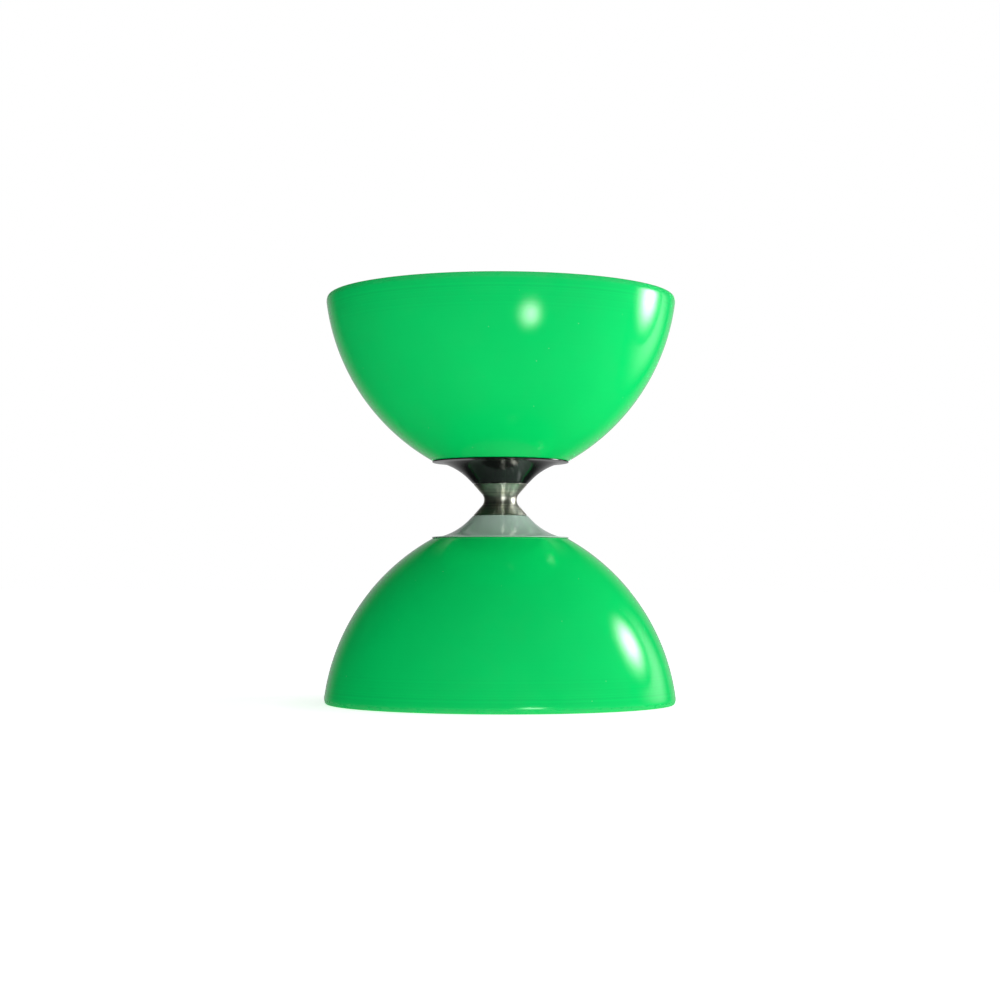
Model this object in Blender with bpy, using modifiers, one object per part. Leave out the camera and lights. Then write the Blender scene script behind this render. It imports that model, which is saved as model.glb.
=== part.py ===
"""Bearing diabolo, with one object for each piece that comes apart on a bench.

Two flexible cups are bolted base to base on a threaded rod. Between their hubs a steel roller turns on
three ball bearings, and the string runs in the roller's groove. The rod clamps the cups, hubs, bushes and
the bearings' inner rings into one stack. The roller turns around that stack with the outer rings, the
shields and the snap rings, and each bearing's cage carries its balls round at its own speed.

The scene is in metres with +Z up along the axle, and z = 0 is the plane that the lower rim stands on. The
named lengths are in millimetres. An outline is a list of (radius, height) pairs in millimetres, run down
its outer side and back up its inner side. Its height counts from the middle of the piece's own frame: for
a piece of the clamped stack that is the waist, the middle of the roller, and the lower copy of such a
piece is the upper one turned over.
"""

import math

import bmesh
import bpy

MM = 0.001
NAME = "diabolo"

# The whole object
RIM_RADIUS = 63.5  # a 127 mm cup
HALF_HEIGHT = 73.7  # from the waist to a rim
GAP = 0.1  # between two pieces that rest on each other
SMOOTH_BELOW = 35.0  # degrees: edges flatter than this are shaded smooth

# Sides that each kind of round piece is made with
CUP_SIDES = 64
HUB_SIDES = 48
SMALL_SIDES = 24
NUT_SIDES = 20  # not a multiple of six, so that no edge of the blank runs along a corner of the hexagon

# Cup: a bowl whose wall is one arc, with a flat base
CUP_WALL = 3.0
CUP_CURVE = 77.15  # radius of the outer face's arc
CUP_BASE_RADIUS = 24.6
CUP_BASE = 14.1
CUP_FLOOR = CUP_BASE + CUP_WALL
LIP_HEIGHT = 2.2  # the rounded outer edge of the rim
LIP_WIDTH = 0.84
LIP_LAND = 1.3  # flat ring that the object stands on
LIP_INNER_EDGE = 0.8
SPIGOT_RADIUS = 7.95

# Hub: a trumpet, first a cone and then an arc, with a thin flange under the cup's base
HUB_TIP = 5.85
HUB_TIP_RADIUS = 9.95
HUB_CONE = 44.5  # degrees from the axle
HUB_CONE_END = 7.5
HUB_CURVE = 22.5
HUB_CURVE_END = 74.0  # degrees from the axle
FLANGE_RADIUS = 24.8
FLANGE_THICKNESS = 0.4
FLANGE_TOP = CUP_BASE - GAP
SPIGOT_END = CUP_FLOOR - GAP

# Roller: a round-bottomed groove between two cones, bored for the bearings
ROLLER_HALF = 5.65
WAIST_RADIUS = 5.93
GROOVE_CURVE = 3.26
GROOVE_FLARE = 41.3  # degrees from the axle
SNAP_GROOVE_DEPTH = 0.4

# Ball bearing, 6 x 10 x 3 mm
BEARING_BORE_RADIUS = 3.0
BEARING_RADIUS = 5.0
BEARING_HALF_WIDTH = 1.5
BEARING_PITCH = 2 * BEARING_HALF_WIDTH + GAP
BEARINGS = ("lower", "middle", "upper")
BALLS = 7
BALL_RADIUS = 0.6
BALL_PITCH_RADIUS = 4.0
INNER_LAND_RADIUS = 3.6
OUTER_LAND_RADIUS = 4.4
INNER_RACE_RADIUS = 3.3
OUTER_RACE_RADIUS = 4.75
RACE_HALF_WIDTH = 0.57
SHIELD_SEAT_RADIUS = 4.7
SHIELD_SEAT = 1.15
SHIELD_THICKNESS = 0.2
SHIELD_BORE_RADIUS = 3.75
CAGE_HALF_WALL = 0.2
CAGE_OPEN_END = 0.45
CAGE_CLOSED_END = 0.95
POCKET_RADIUS = 0.72
STACK_HALF = BEARING_PITCH + BEARING_HALF_WIDTH

# Snap ring
SNAP_THICKNESS = 0.5
SNAP_WALL = 0.9
SNAP_OPENING = 1.8
SNAP_PLAY = 0.05  # on each face in its groove
SNAP_START = STACK_HALF + GAP
SNAP_OUTER_RADIUS = BEARING_RADIUS + SNAP_GROOVE_DEPTH

# Rod, bush, clamp disc, washer and nut
ROD_RADIUS = BEARING_BORE_RADIUS - GAP
ROD_HALF = 29.0
ROD_CHAMFER = 0.5
BUSH_START = STACK_HALF + GAP
BUSH_NOSE_END = HUB_TIP + GAP
BUSH_SHOULDER = 12.0
BUSH_END = 16.9
BUSH_RADIUS = 5.0
BUSH_STUB_RADIUS = 3.85
DISC_RADIUS = 20.0
DISC_THICKNESS = 2.0
DISC_CHAMFER = 0.6
DISC_START = CUP_FLOOR + GAP
WASHER_RADIUS = 9.0
WASHER_THICKNESS = 1.6
WASHER_BORE_RADIUS = 3.2
WASHER_START = DISC_START + DISC_THICKNESS + GAP
NUT_START = WASHER_START + WASHER_THICKNESS + GAP
NUT_HEIGHT = 6.0
NUT_ACROSS_FLATS = 10.0
NUT_HEX_HEIGHT = 4.0
NUT_CHAMFER = 0.4
NUT_BLANK = 1.02  # the turned blank is this much wider than the hexagon's corners
COLLAR_RADIUS = 4.7
COLLAR_LIP_RADIUS = 3.4
INSERT_SEAT_RADIUS = 3.9
INSERT_SEAT = NUT_START + 4.2  # floor of the recess that holds the locking ring
COLLAR_LIP = 0.4  # rolled over the locking ring

# Finishes: colour, roughness and metallic value
GREEN_CUP = ("green_cup", (0.002, 0.60, 0.13), 0.18, 0.0)
BLACK_HUB = ("black_hub", (0.008, 0.009, 0.009), 0.15, 0.0)
WHITE_HUB = ("white_hub", (0.72, 0.74, 0.72), 0.2, 0.0)
POLISHED_STEEL = ("polished_steel", (0.62, 0.60, 0.56), 0.12, 1.0)
BEARING_STEEL = ("bearing_steel", (0.55, 0.55, 0.56), 0.2, 1.0)
ZINC_PLATE = ("zinc_plate", (0.66, 0.67, 0.69), 0.35, 1.0)
SPRING_STEEL = ("spring_steel", (0.12, 0.12, 0.13), 0.4, 1.0)
CAGE_NYLON = ("cage_nylon", (0.75, 0.70, 0.58), 0.5, 0.0)
INSERT_NYLON = ("insert_nylon", (0.05, 0.12, 0.45), 0.5, 0.0)


# ---- outlines ----


def arc(centre, radius, start, end, steps):
    """Points on a circle about (radius, height) centre, from one angle to another in degrees."""
    angles = [math.radians(start + (end - start) * i / steps) for i in range(steps + 1)]
    return [(centre[0] + radius * math.cos(a), centre[1] + radius * math.sin(a)) for a in angles]


def bowl_centre():
    """Centre of the arc that joins the base's corner to the rim, on the mouth's side of that wall."""
    rise = HALF_HEIGHT - LIP_HEIGHT - CUP_BASE
    spread = RIM_RADIUS - CUP_BASE_RADIUS
    chord = math.hypot(spread, rise)
    depth = math.sqrt(CUP_CURVE**2 - (chord / 2) ** 2)
    middle = (CUP_BASE_RADIUS + spread / 2, CUP_BASE + rise / 2)
    return middle[0] - depth * rise / chord, middle[1] + depth * spread / chord


def bowl_wall(radius, first, last, steps):
    """The bowl's wall at a radius from its centre, from one height to another."""
    centre = bowl_centre()
    start, end = (math.degrees(math.asin((h - centre[1]) / radius)) for h in (first, last))
    return arc(centre, radius, start, end, steps)


def cup_outline():
    """The bowl, mouth up, with a hole in its base for the hub's spigot."""
    lip_start = HALF_HEIGHT - LIP_HEIGHT
    land_outer = RIM_RADIUS - LIP_WIDTH
    rounding = [
        (land_outer + LIP_WIDTH * math.cos(a), lip_start + LIP_HEIGHT * math.sin(a))
        for a in (math.pi / 2, math.pi / 4)
    ]
    outer = bowl_wall(CUP_CURVE, lip_start, CUP_BASE, 9)
    inner = bowl_wall(CUP_CURVE - CUP_WALL, CUP_FLOOR, HALF_HEIGHT - LIP_INNER_EDGE, 8)
    hole = SPIGOT_RADIUS + GAP
    land_inner = (land_outer - LIP_LAND, HALF_HEIGHT)
    return [*rounding, *outer, (hole, CUP_BASE), (hole, CUP_FLOOR), *inner, land_inner]


def hub_outline():
    """The trumpet, its flange and its spigot, bored for the stepped bush."""
    cone = math.radians(HUB_CONE)
    cone_end = HUB_TIP_RADIUS + (HUB_CONE_END - HUB_TIP) * math.tan(cone)
    centre = (cone_end + HUB_CURVE * math.cos(cone), HUB_CONE_END - HUB_CURVE * math.sin(cone))
    trumpet = arc(centre, HUB_CURVE, 180 - HUB_CURVE_END, 180 - HUB_CONE, 5)
    bush_seat = BUSH_SHOULDER + GAP
    return [
        (SPIGOT_RADIUS, SPIGOT_END),
        (SPIGOT_RADIUS, FLANGE_TOP),
        (FLANGE_RADIUS, FLANGE_TOP),
        (FLANGE_RADIUS, FLANGE_TOP - FLANGE_THICKNESS),
        *trumpet,
        (HUB_TIP_RADIUS, HUB_TIP),
        (BUSH_RADIUS + GAP, HUB_TIP),
        (BUSH_RADIUS + GAP, bush_seat),
        (BUSH_STUB_RADIUS + GAP, bush_seat),
        (BUSH_STUB_RADIUS + GAP, SPIGOT_END),
    ]


def roller_outline():
    """The string's groove outside, and inside the bore with a snap ring's groove near each end."""
    bore = BEARING_RADIUS + GAP
    groove = bore + SNAP_GROOVE_DEPTH
    near = SNAP_START - SNAP_PLAY
    far = SNAP_START + SNAP_THICKNESS + SNAP_PLAY
    centre = (WAIST_RADIUS + GROOVE_CURVE, 0)
    flare = arc(centre, GROOVE_CURVE, 180 - GROOVE_FLARE, 180 + GROOVE_FLARE, 8)
    rise = ROLLER_HALF - GROOVE_CURVE * math.sin(math.radians(GROOVE_FLARE))
    end_radius = flare[0][0] + rise * math.tan(math.radians(GROOVE_FLARE))
    half_bore = [(bore, ROLLER_HALF), (bore, far), (groove, far), (groove, near), (bore, near)]
    return [
        (end_radius, ROLLER_HALF),
        *flare,
        (end_radius, -ROLLER_HALF),
        *[(r, -h) for r, h in half_bore],
        *reversed(half_bore),
    ]


def ring_outline(outer, inner, start, end):
    """A plain ring between two radii and two heights."""
    return [(outer, end), (outer, start), (inner, start), (inner, end)]


def outer_ring_outline():
    """A raceway in the middle of the bore, and a seat for a shield at each face."""
    half = [
        (SHIELD_SEAT_RADIUS, BEARING_HALF_WIDTH),
        (SHIELD_SEAT_RADIUS, SHIELD_SEAT),
        (OUTER_LAND_RADIUS, SHIELD_SEAT),
        (OUTER_LAND_RADIUS, RACE_HALF_WIDTH),
    ]
    return [
        (BEARING_RADIUS, BEARING_HALF_WIDTH),
        (BEARING_RADIUS, -BEARING_HALF_WIDTH),
        *[(r, -h) for r, h in half],
        (OUTER_RACE_RADIUS, 0),
        *reversed(half),
    ]


def inner_ring_outline():
    """A raceway in the middle of the outer side."""
    return [
        (INNER_LAND_RADIUS, BEARING_HALF_WIDTH),
        (INNER_LAND_RADIUS, RACE_HALF_WIDTH),
        (INNER_RACE_RADIUS, 0),
        (INNER_LAND_RADIUS, -RACE_HALF_WIDTH),
        (INNER_LAND_RADIUS, -BEARING_HALF_WIDTH),
        (BEARING_BORE_RADIUS, -BEARING_HALF_WIDTH),
        (BEARING_BORE_RADIUS, BEARING_HALF_WIDTH),
    ]


def bush_outline():
    """The nose presses on an inner ring and the shoulder holds the hub."""
    return [
        (BUSH_STUB_RADIUS, BUSH_END),
        (BUSH_STUB_RADIUS, BUSH_SHOULDER),
        (BUSH_RADIUS, BUSH_SHOULDER),
        (BUSH_RADIUS, BUSH_NOSE_END),
        (INNER_LAND_RADIUS, BUSH_NOSE_END),
        (INNER_LAND_RADIUS, BUSH_START),
        (BEARING_BORE_RADIUS, BUSH_START),
        (BEARING_BORE_RADIUS, BUSH_END),
    ]


def disc_outline():
    """A flat disc on the cup's floor, chamfered where a hand can reach it."""
    end = DISC_START + DISC_THICKNESS
    return [
        (DISC_RADIUS - DISC_CHAMFER, end),
        (DISC_RADIUS, end - DISC_CHAMFER),
        (DISC_RADIUS, DISC_START),
        (BEARING_BORE_RADIUS, DISC_START),
        (BEARING_BORE_RADIUS, end),
    ]


def nut_outline():
    """The nut before its six flats are cut: a chamfered body and a collar rolled over the locking ring."""
    corner = NUT_BLANK * NUT_ACROSS_FLATS / math.sqrt(3)
    end = NUT_START + NUT_HEIGHT
    hex_end = NUT_START + NUT_HEX_HEIGHT
    return [
        (COLLAR_RADIUS - COLLAR_LIP, end),
        (COLLAR_RADIUS, end - COLLAR_LIP),
        (COLLAR_RADIUS, hex_end + NUT_CHAMFER),
        (corner, hex_end),
        (corner, NUT_START + NUT_CHAMFER),
        (corner - 2 * NUT_CHAMFER, NUT_START),
        (BEARING_BORE_RADIUS, NUT_START),
        (BEARING_BORE_RADIUS, INSERT_SEAT),
        (INSERT_SEAT_RADIUS, INSERT_SEAT),
        (INSERT_SEAT_RADIUS, end - COLLAR_LIP),
        (COLLAR_LIP_RADIUS, end - COLLAR_LIP),
        (COLLAR_LIP_RADIUS, end),
    ]


def rod_outline():
    """An open outline: it starts and ends on the axle, which closes the rod's ends."""
    tip = ROD_RADIUS - ROD_CHAMFER
    half = [(0, ROD_HALF), (tip, ROD_HALF), (ROD_RADIUS, ROD_HALF - ROD_CHAMFER)]
    return [*half, *[(r, -h) for r, h in reversed(half)]]


# ---- making objects ----


def clear_scene():
    for obj in list(bpy.data.objects):
        bpy.data.objects.remove(obj, do_unlink=True)


def new_collection(name):
    collection = bpy.data.collections.new(name)
    bpy.context.scene.collection.children.link(collection)
    return collection


def finish(look):
    """The Principled material of a (name, colour, roughness, metallic) finish, made once."""
    name, colour, roughness, metallic = look
    material = bpy.data.materials.get(name)
    if material is None:
        material = bpy.data.materials.new(name)
        material.use_nodes = True
        shader = material.node_tree.nodes["Principled BSDF"]
        shader.inputs["Base Color"].default_value = (*colour, 1)
        shader.inputs["Roughness"].default_value = roughness
        shader.inputs["Metallic"].default_value = metallic
        material.diffuse_color = (*colour, 1)
    return material


def turned_mesh(name, outline, sides, is_ring=True):
    """A mesh turned about +Z from an outline in millimetres, which is closed unless the piece is solid."""
    profile = bpy.data.meshes.new(name)
    points = [(r * MM, 0, h * MM) for r, h in outline]
    edges = [(i, i + 1) for i in range(len(points) - 1)]
    if is_ring:
        edges.append((len(points) - 1, 0))
    profile.from_pydata(points, edges, [])
    blank = bpy.data.objects.new(name, profile)
    bpy.context.scene.collection.objects.link(blank)
    screw = blank.modifiers.new("turn", "SCREW")
    screw.steps = screw.render_steps = sides
    screw.use_merge_vertices = True
    screw.merge_threshold = 1e-6
    graph = bpy.context.evaluated_depsgraph_get()
    mesh = bpy.data.meshes.new_from_object(blank.evaluated_get(graph))
    bpy.data.objects.remove(blank)
    bpy.data.meshes.remove(profile)
    mesh.name = name
    mesh.shade_smooth()
    mesh.set_sharp_from_angle(angle=math.radians(SMOOTH_BELOW))
    return mesh


def ball_mesh():
    mesh = bpy.data.meshes.new("ball")
    shape = bmesh.new()
    bmesh.ops.create_icosphere(shape, subdivisions=2, radius=BALL_RADIUS * MM)
    shape.to_mesh(mesh)
    shape.free()
    mesh.shade_smooth()
    return mesh


def pockets_mesh():
    """A sphere at each ball's place, a little larger than the ball."""
    mesh = bpy.data.meshes.new("ball_pockets")
    shape = bmesh.new()
    for place in ball_places():
        made = bmesh.ops.create_uvsphere(shape, u_segments=10, v_segments=6, radius=POCKET_RADIUS * MM)
        bmesh.ops.translate(shape, verts=made["verts"], vec=place)
    shape.to_mesh(mesh)
    shape.free()
    return mesh


def hexagon_mesh():
    """A hexagonal bar that is longer than the nut, with its middle at the nut's."""
    mesh = bpy.data.meshes.new("hexagon_bar")
    shape = bmesh.new()
    corner = NUT_ACROSS_FLATS / math.sqrt(3) * MM
    bmesh.ops.create_cone(
        shape, cap_ends=True, segments=6, radius1=corner, radius2=corner, depth=2 * NUT_HEIGHT * MM
    )
    bmesh.ops.translate(shape, verts=shape.verts, vec=(0, 0, (NUT_START + NUT_HEIGHT / 2) * MM))
    shape.to_mesh(mesh)
    shape.free()
    return mesh


def slot_mesh():
    """A block that takes the opening out of a snap ring, across its +X side."""
    mesh = bpy.data.meshes.new("snap_ring_slot")
    shape = bmesh.new()
    bmesh.ops.create_cube(shape, size=MM)
    bmesh.ops.scale(shape, verts=shape.verts, vec=(3 * SNAP_WALL, SNAP_OPENING, 3 * SNAP_THICKNESS))
    middle = SNAP_START + SNAP_THICKNESS / 2
    bmesh.ops.translate(shape, verts=shape.verts, vec=(BEARING_RADIUS * MM, 0, middle * MM))
    shape.to_mesh(mesh)
    shape.free()
    return mesh


def ball_places():
    """The balls' centres in the bearing's own frame, in metres."""
    angles = [2 * math.pi * i / BALLS for i in range(BALLS)]
    pitch = BALL_PITCH_RADIUS * MM
    return [(pitch * math.cos(a), pitch * math.sin(a), 0) for a in angles]


class Assembly:
    """The collections that pieces and cutters go in, with the calls that place them."""

    def __init__(self):
        self.pieces = new_collection(NAME)
        self.cutters = new_collection(NAME + "_cutters")

    def axis(self, name, parent=None, height=0.0):
        """An empty on the axle, at a height in millimetres above its parent, that pieces turn with."""
        empty = bpy.data.objects.new(name, None)
        empty.empty_display_size = 10 * MM
        empty.parent = parent
        empty.location = (0, 0, height * MM)
        self.pieces.objects.link(empty)
        return empty

    def piece(self, name, mesh, look, parent, place=(0, 0, 0), turned_over=False):
        """One piece under its parent. The finish is the object's own, because copies share a mesh."""
        obj = bpy.data.objects.new(name, mesh)
        if not mesh.materials:
            mesh.materials.append(finish(look))
        obj.material_slots[0].link = "OBJECT"
        obj.material_slots[0].material = finish(look)
        obj.parent = parent
        obj.location = place
        obj.rotation_euler = (math.pi if turned_over else 0, 0, 0)
        self.pieces.objects.link(obj)
        return obj

    def cut(self, obj, mesh, operation="DIFFERENCE"):
        """Cuts a piece with a mesh that lies in the piece's own frame."""
        cutter = bpy.data.objects.new(obj.name + "_cutter", mesh)
        cutter.parent = obj.parent
        cutter.location = obj.location
        cutter.rotation_euler = obj.rotation_euler
        cutter.hide_render = True
        cutter.display_type = "WIRE"
        self.cutters.objects.link(cutter)
        boolean = obj.modifiers.new("cut", "BOOLEAN")
        boolean.operation = operation
        boolean.object = cutter
        boolean.solver = "EXACT"


# ---- the diabolo ----


def add_clamped_stack(assembly, stack):
    """The rod and, on each side, the cup with its hub, bush, clamp disc, washer and lock nut."""
    rod = turned_mesh("rod", rod_outline(), SMALL_SIDES, is_ring=False)
    assembly.piece("axle_rod", rod, ZINC_PLATE, stack)
    cup = turned_mesh("cup", cup_outline(), CUP_SIDES)
    hub = turned_mesh("hub", hub_outline(), HUB_SIDES)
    bush = turned_mesh("bush", bush_outline(), SMALL_SIDES)
    disc = turned_mesh("clamp_disc", disc_outline(), HUB_SIDES)
    washer_end = WASHER_START + WASHER_THICKNESS
    washer_outline = ring_outline(WASHER_RADIUS, WASHER_BORE_RADIUS, WASHER_START, washer_end)
    washer = turned_mesh("washer", washer_outline, SMALL_SIDES)
    nut = turned_mesh("lock_nut", nut_outline(), NUT_SIDES)
    insert_radius = INSERT_SEAT_RADIUS - GAP
    insert_end = NUT_START + NUT_HEIGHT - COLLAR_LIP - GAP
    insert_outline = ring_outline(insert_radius, BEARING_BORE_RADIUS, INSERT_SEAT + GAP, insert_end)
    insert = turned_mesh("nut_insert", insert_outline, SMALL_SIDES)
    hexagon = hexagon_mesh()
    for side, hub_look in (("lower", WHITE_HUB), ("upper", BLACK_HUB)):
        over = side == "lower"
        assembly.piece(f"{side}_cup", cup, GREEN_CUP, stack, turned_over=over)
        assembly.piece(f"{side}_hub", hub, hub_look, stack, turned_over=over)
        assembly.piece(f"{side}_bush", bush, POLISHED_STEEL, stack, turned_over=over)
        assembly.piece(f"{side}_clamp_disc", disc, ZINC_PLATE, stack, turned_over=over)
        assembly.piece(f"{side}_washer", washer, ZINC_PLATE, stack, turned_over=over)
        lock_nut = assembly.piece(f"{side}_lock_nut", nut, ZINC_PLATE, stack, turned_over=over)
        assembly.cut(lock_nut, hexagon, "INTERSECT")
        assembly.piece(f"{side}_nut_insert", insert, INSERT_NYLON, stack, turned_over=over)


def add_roller(assembly, roller_axis):
    """The roller and the snap rings that keep the bearings in its bore."""
    roller = turned_mesh("roller", roller_outline(), HUB_SIDES)
    assembly.piece("roller", roller, POLISHED_STEEL, roller_axis)
    snap_inner = SNAP_OUTER_RADIUS - SNAP_WALL
    snap_end = SNAP_START + SNAP_THICKNESS
    snap_outline = ring_outline(SNAP_OUTER_RADIUS, snap_inner, SNAP_START, snap_end)
    snap = turned_mesh("snap_ring", snap_outline, SMALL_SIDES)
    slot = slot_mesh()
    for side in ("lower", "upper"):
        over = side == "lower"
        ring = assembly.piece(f"{side}_snap_ring", snap, SPRING_STEEL, roller_axis, turned_over=over)
        assembly.cut(ring, slot)


def add_bearings(assembly, stack, roller_axis):
    """Three bearings: inner rings on the stack, outer rings and shields on the roller, and the cages."""
    outer_ring = turned_mesh("outer_ring", outer_ring_outline(), SMALL_SIDES)
    inner_ring = turned_mesh("inner_ring", inner_ring_outline(), SMALL_SIDES)
    shield_start = SHIELD_SEAT + GAP / 2
    shield_end = shield_start + SHIELD_THICKNESS
    shield_outer = SHIELD_SEAT_RADIUS - GAP
    shield_outline = ring_outline(shield_outer, SHIELD_BORE_RADIUS, shield_start, shield_end)
    shield = turned_mesh("shield", shield_outline, SMALL_SIDES)
    cage_outer = BALL_PITCH_RADIUS + CAGE_HALF_WALL
    cage_inner = BALL_PITCH_RADIUS - CAGE_HALF_WALL
    cage_outline = ring_outline(cage_outer, cage_inner, -CAGE_OPEN_END, CAGE_CLOSED_END)
    cage = turned_mesh("cage", cage_outline, 3 * BALLS)
    pockets = pockets_mesh()
    ball = ball_mesh()
    for number, place in enumerate(BEARINGS):
        height = (number - 1) * BEARING_PITCH
        at = (0, 0, height * MM)
        assembly.piece(f"{place}_bearing_inner_ring", inner_ring, BEARING_STEEL, stack, at)
        assembly.piece(f"{place}_bearing_outer_ring", outer_ring, BEARING_STEEL, roller_axis, at)
        for face in ("bottom", "top"):
            over = face == "bottom"
            name = f"{place}_bearing_{face}_shield"
            assembly.piece(name, shield, BEARING_STEEL, roller_axis, at, over)
        cage_axis = assembly.axis(f"{place}_cage_axis", stack, height)
        crown = assembly.piece(f"{place}_bearing_cage", cage, CAGE_NYLON, cage_axis)
        assembly.cut(crown, pockets)
        for i, spot in enumerate(ball_places()):
            assembly.piece(f"{place}_bearing_ball_{i + 1}", ball, BEARING_STEEL, cage_axis, spot)


def main():
    clear_scene()
    assembly = Assembly()
    stack = assembly.axis("clamped_stack_axis", height=HALF_HEIGHT)
    roller_axis = assembly.axis("roller_axis", stack)
    add_clamped_stack(assembly, stack)
    add_roller(assembly, roller_axis)
    add_bearings(assembly, stack, roller_axis)


main()
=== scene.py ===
"""Bearing diabolo: the finished surfaces, finishes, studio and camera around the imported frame.

The frame gives the place of every piece. Each one is turned or cut again here as a fine mesh and stands
for its node, on the same body. Only the three bearing cages keep their nodes' shapes, and take a finish.
Lengths are in metres, +Z is the axle, and outlines' heights count from the waist, the roller's middle.
"""

import logging
import math
from collections.abc import Iterable, Sequence
from dataclasses import dataclass
from enum import Enum
from typing import ClassVar

import bmesh
import bpy
from mathutils import Matrix, Vector


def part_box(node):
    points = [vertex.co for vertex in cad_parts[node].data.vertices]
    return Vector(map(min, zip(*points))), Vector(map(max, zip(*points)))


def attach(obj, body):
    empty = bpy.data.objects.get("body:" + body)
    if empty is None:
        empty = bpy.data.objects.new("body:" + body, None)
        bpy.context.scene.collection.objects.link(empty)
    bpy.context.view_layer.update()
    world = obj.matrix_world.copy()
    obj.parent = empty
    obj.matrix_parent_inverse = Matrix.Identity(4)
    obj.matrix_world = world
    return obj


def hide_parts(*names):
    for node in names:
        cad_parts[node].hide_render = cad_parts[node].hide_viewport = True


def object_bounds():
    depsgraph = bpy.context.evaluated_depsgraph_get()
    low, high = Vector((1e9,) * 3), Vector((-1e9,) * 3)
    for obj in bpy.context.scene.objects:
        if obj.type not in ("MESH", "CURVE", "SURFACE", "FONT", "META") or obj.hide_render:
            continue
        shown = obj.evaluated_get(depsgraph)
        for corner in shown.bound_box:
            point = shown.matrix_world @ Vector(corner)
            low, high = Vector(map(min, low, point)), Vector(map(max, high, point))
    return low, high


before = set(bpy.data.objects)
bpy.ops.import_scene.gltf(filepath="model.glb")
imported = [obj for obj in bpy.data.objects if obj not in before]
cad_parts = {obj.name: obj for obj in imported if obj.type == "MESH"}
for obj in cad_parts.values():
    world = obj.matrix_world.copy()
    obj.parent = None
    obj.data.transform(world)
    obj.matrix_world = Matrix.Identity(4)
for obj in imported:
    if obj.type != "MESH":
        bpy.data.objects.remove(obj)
cad_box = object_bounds()

logging.basicConfig(level=logging.INFO, format="%(message)s")
log = logging.getLogger("diabolo")

MM = 0.001
FULL_TURN = 2 * math.pi
CREASE = math.radians(40.0)  # sharper edges stay crisp
TURNED_BODY = "cup_assembly"
ROLLER_BODY = "roller"

Point = tuple[float, float]
Corner = Colour = Place = tuple[float, float, float]
Socket = bpy.types.NodeSocket
Material = bpy.types.Material


class Side(Enum):
    """Which end of the axle a piece is on, as its node spells it."""

    UPPER = "upper"
    LOWER = "lower"


# ---- outlines ----


def arc(centre: Point, radius: float, start: float, end: float, steps: int) -> list[Point]:
    """Points along a circle in the (radius, height) plane.

    Args:
        centre: The circle's centre.
        radius: Its radius.
        start: First angle in degrees, from the direction of growing radius.
        end: Last angle in degrees.
        steps: Number of chords between them.

    Returns:
        steps + 1 points, both ends among them.
    """
    angles = [math.radians(start + (end - start) * i / steps) for i in range(steps + 1)]
    return [(centre[0] + radius * math.cos(a), centre[1] + radius * math.sin(a)) for a in angles]


def rounded(corners: Sequence[Corner], closed: bool = False, steps: int = 6) -> list[Point]:
    """A polygon with its corners rounded.

    Args:
        corners: (radius, height, rounding) triples; a rounding of 0 keeps the corner sharp.
        closed: Whether the last corner joins the first.
        steps: Chords along each rounding.

    Returns:
        The outline's points, in the corners' order.
    """
    points: list[Point] = []
    count = len(corners)
    for i, (r, h, rounding) in enumerate(corners):
        is_end = not closed and i in (0, count - 1)
        if rounding <= 0 or is_end:
            points.append((r, h))
            continue
        here = Vector((r, h))
        before = (Vector(corners[i - 1][:2]) - here).normalized()
        after = (Vector(corners[(i + 1) % count][:2]) - here).normalized()
        half = before.angle(after) / 2
        reach = rounding / math.tan(half)
        middle = here + (before + after).normalized() * (rounding / math.sin(half))
        first = here + before * reach - middle
        sweep = first.angle_signed(here + after * reach - middle)
        for k in range(steps + 1):
            turn = Matrix.Rotation(-sweep * k / steps, 2)
            points.append(tuple(middle + turn @ first))
    return points


def points_between(first: Point, last: Point, steps: int) -> list[Point]:
    """Evenly spaced points on a line, after its first and up to its last."""
    shares = [i / steps for i in range(1, steps + 1)]
    return [tuple(a + (b - a) * share for a, b in zip(first, last)) for share in shares]


def without_repeats(points: Iterable[Point], closest: float = 1e-6) -> list[Point]:
    """The points with each that all but repeats the one before it left out."""
    kept: list[Point] = []
    for point in points:
        if not kept or math.dist(point, kept[-1]) > closest:
            kept.append(point)
    return kept


# ---- meshes ----


def finished(shape: bmesh.types.BMesh, name: str, material: Material) -> bpy.types.Mesh:
    """A mesh with its material, from a bmesh that is used up."""
    mesh = bpy.data.meshes.new(name)
    shape.to_mesh(mesh)
    shape.free()
    mesh.materials.append(material)
    return mesh


def in_scene(name: str, data: bpy.types.ID) -> bpy.types.Object:
    """An object in the scene with a mesh, a light or a camera as its data."""
    made = bpy.data.objects.new(name, data)
    bpy.context.scene.collection.objects.link(made)
    return made


def turned(outline: Sequence[Point], sides: int) -> bmesh.types.BMesh:
    """Turns a closed outline once about the axle.

    Args:
        outline: (radius, height) points.
        sides: Number of steps round the axle.

    Returns:
        The closed surface, which faces out.
    """
    shape = bmesh.new()
    vertices = [shape.verts.new((r, 0, h)) for r, h in without_repeats(outline)]
    edges = [shape.edges.new(pair) for pair in zip(vertices, [*vertices[1:], vertices[0]])]
    bmesh.ops.spin(
        shape,
        geom=[*vertices, *edges],
        cent=(0, 0, 0),
        axis=(0, 0, 1),
        angle=FULL_TURN,
        steps=sides,
        use_merge=True,
    )
    bmesh.ops.remove_doubles(shape, verts=shape.verts, dist=1e-7)
    bmesh.ops.recalc_face_normals(shape, faces=shape.faces)
    return shape


def join_loops(shape: bmesh.types.BMesh, first: list, second: list) -> None:
    """Joins two closed loops of as many vertices with a band of faces.

    Args:
        shape: The bmesh that they are in.
        first: The vertices of one loop.
        second: The vertices of the other, each beside its partner.
    """
    for i, corner in enumerate(first):
        j = (i + 1) % len(first)
        shape.faces.new((corner, first[j], second[j], second[i]))


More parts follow.
